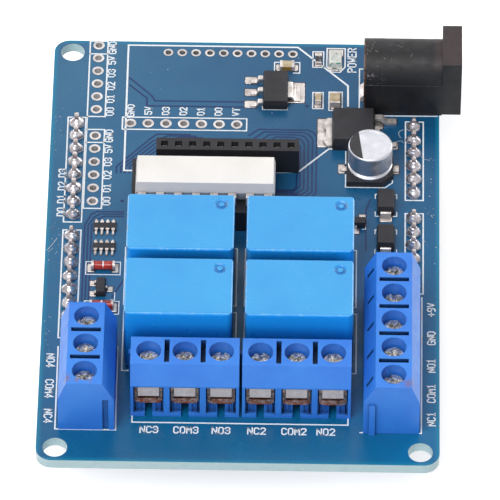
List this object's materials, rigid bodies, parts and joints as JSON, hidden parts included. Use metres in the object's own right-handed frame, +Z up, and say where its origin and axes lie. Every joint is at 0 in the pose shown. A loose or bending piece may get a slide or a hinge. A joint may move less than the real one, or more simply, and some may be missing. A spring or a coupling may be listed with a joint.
{
  "type": "relay module board",
  "caption": "Rectangular circuit board with sealed relays, screw terminal blocks, header pins underneath and a round power jack at one edge.",
  "frame": {"origin": "middle of the overall outline, jack flange included, at the height of the header pins' tips", "axes": "+Z up from the pins to the relays, +Y to the rear edge with the jack's corner, +X to the side on which the jack opens"},
  "size_m": [0.0586, 0.0798, 0.0219],
  "materials": {
    "board": "blue solder mask over glass laminate, cut edges pale",
    "tin": "tinned copper and solder",
    "header_black": "moulded black",
    "pin_metal": "plated square pins",
    "socket_black": "moulded black",
    "white_case": "moulded white",
    "jack_black": "moulded black, scuffed",
    "relay_blue": "moulded light blue",
    "block_blue": "moulded blue",
    "cage_metal": "stamped, plated, coppery cut edges",
    "contact_metal": "tinned strip",
    "screw_metal": "nickel plated",
    "chip_black": "moulded black",
    "can_metal": "drawn can",
    "glass_red": "red glass with tinned ends",
    "lamp_white": "clear lens on a white base",
    "chip_tan": "tan ceramic with tinned ends"
  },
  "bodies": {
    "root": {"block_front_left_cages": "cage_metal", "block_front_left_contacts": "contact_metal", "block_front_left_housing": "block_blue", "block_front_left_screws": "screw_metal", "block_front_right_cages": "cage_metal", "block_front_right_contacts": "contact_metal", "block_front_right_housing": "block_blue", "block_front_right_screws": "screw_metal", "block_left_cages": "cage_metal", "block_left_contacts": "contact_metal", "block_left_housing": "block_blue", "block_left_screws": "screw_metal", "block_right_cages": "cage_metal", "block_right_contacts": "contact_metal", "block_right_housing": "block_blue", "block_right_screws": "screw_metal", "capacitor_base": "chip_black", "capacitor_can": "can_metal", "capacitor_tabs": "tin", "chip_parts": "chip_tan", "glass_diodes": "glass_red", "header_pins_left_front": "pin_metal", "header_pins_left_rear": "pin_metal", "header_pins_right_front": "pin_metal", "header_pins_right_rear": "pin_metal", "header_solder": "tin", "header_strip_left_front": "header_black", "header_strip_left_rear": "header_black", "header_strip_right_front": "header_black", "header_strip_right_rear": "header_black", "hole_linings": "tin", "isolator_body": "white_case", "isolator_leads": "tin", "isolator_socket_body": "socket_black", "isolator_socket_contacts": "pin_metal", "jack_centre_pin": "contact_metal", "jack_housing": "jack_black", "jack_spring": "contact_metal", "jack_switch_contact": "contact_metal", "large_regulator_body": "chip_black", "large_regulator_leads": "tin", "pcb": "board", "power_diode_1": "chip_black", "power_diode_2": "chip_black", "power_diode_leads": "tin", "power_lamp": "lamp_white", "radio_socket_body": "socket_black", "radio_socket_contacts": "pin_metal", "relay_1": "relay_blue", "relay_2": "relay_blue", "relay_3": "relay_blue", "relay_4": "relay_blue", "relay_pins": "tin", "resistor_array_1": "chip_black", "resistor_array_2": "chip_black", "small_regulator_body": "chip_black", "small_regulator_leads": "tin", "transistor_bodies": "chip_black", "transistor_leads": "tin", "underside_solder": "tin"}
  },
  "joints": []
}
